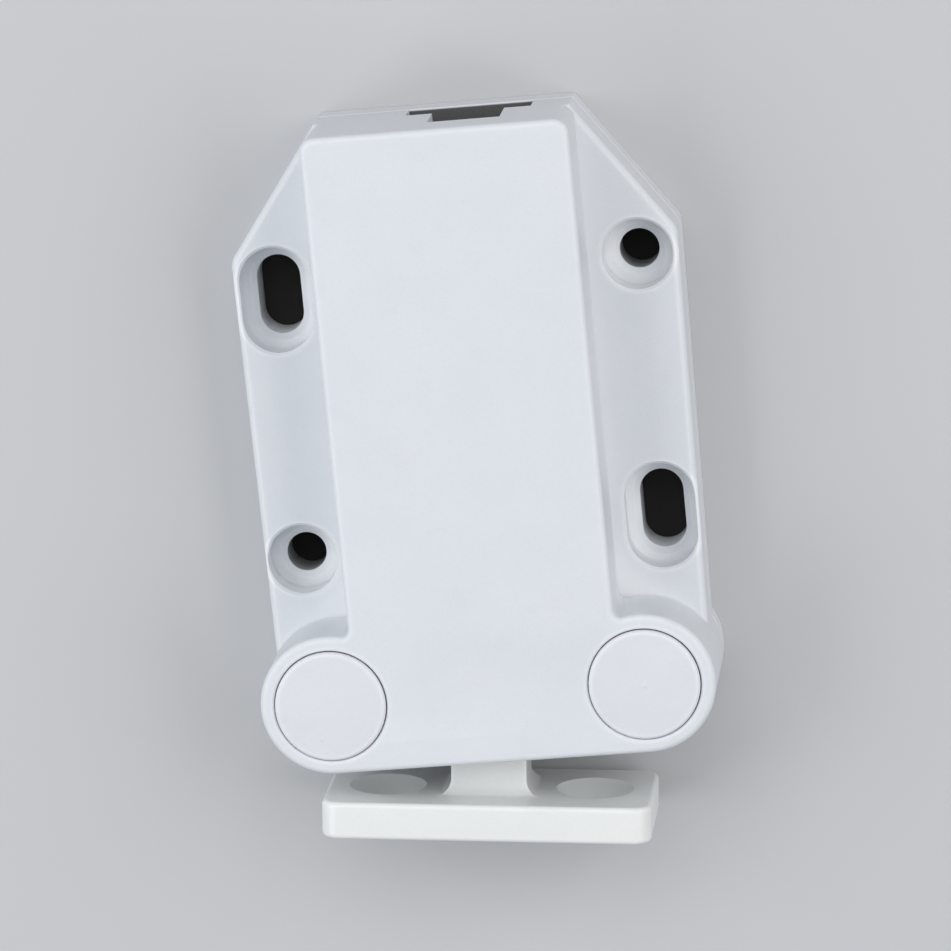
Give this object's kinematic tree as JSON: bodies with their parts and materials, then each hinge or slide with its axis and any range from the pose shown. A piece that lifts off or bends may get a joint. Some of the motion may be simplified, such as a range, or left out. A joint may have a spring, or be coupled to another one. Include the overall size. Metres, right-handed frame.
{
  "type": "push to open catch",
  "caption": "Push-to-open cabinet catch: wide low casing with two pivoting jaws at its mouth, spring-loaded slider with heart-shaped latch track, and a T-shaped striker.",
  "frame": {"origin": "middle of the four fixing holes, on the mounting face", "axes": "+Z out of the mounting face, -Y out of the mouth towards the striker, +X to the right seen from above with the mouth towards the viewer"},
  "size_m": [0.036, 0.0584, 0.0133],
  "materials": {
    "casing": "fine satin moulding",
    "jaw": "fine satin moulding",
    "slider": "plain moulding",
    "striker": "fine satin moulding",
    "pin_steel": "drawn",
    "spring_steel": "zinc plated wire"
  },
  "bodies": {
    "casing": {"cover": "casing", "base_plate": "casing", "left_pivot": "pin_steel", "right_pivot": "pin_steel", "spring_rod": "pin_steel", "tracking_wire": "spring_steel", "main_spring": "spring_steel"},
    "slider": {"slider": "slider"},
    "left_jaw": {"left_jaw": "jaw"},
    "right_jaw": {"right_jaw": "jaw"},
    "striker": {"striker": "striker"}
  },
  "joints": [
    {"name": "slider_slide", "type": "slide", "parent": "casing", "child": "slider", "axis": [0, -1, 0], "range_m": [-0.002, 0.0065], "deforming": ["main_spring", "tracking_wire"]},
    {"name": "left_jaw_pivot", "type": "hinge", "parent": "casing", "child": "left_jaw", "pos_m": [-0.01245, -0.0217, 0], "axis": [0, 0, -1], "range_deg": [-9.3, 30.1]},
    {"name": "right_jaw_pivot", "type": "hinge", "parent": "casing", "child": "right_jaw", "pos_m": [0.01245, -0.0217, 0], "axis": [0, 0, 1], "range_deg": [-9.3, 30.1]},
    {"name": "striker_swivel", "type": "hinge", "parent": "slider", "child": "striker", "pos_m": [0, -0.0192, 0], "axis": [0, 0, 1], "range_deg": [0, 10.4]}
  ],
  "couplings": [
    {"joint": "left_jaw_pivot", "follows": "slider_slide", "rad_per_m": 80.554},
    {"joint": "right_jaw_pivot", "follows": "slider_slide", "rad_per_m": 80.554}
  ]
}
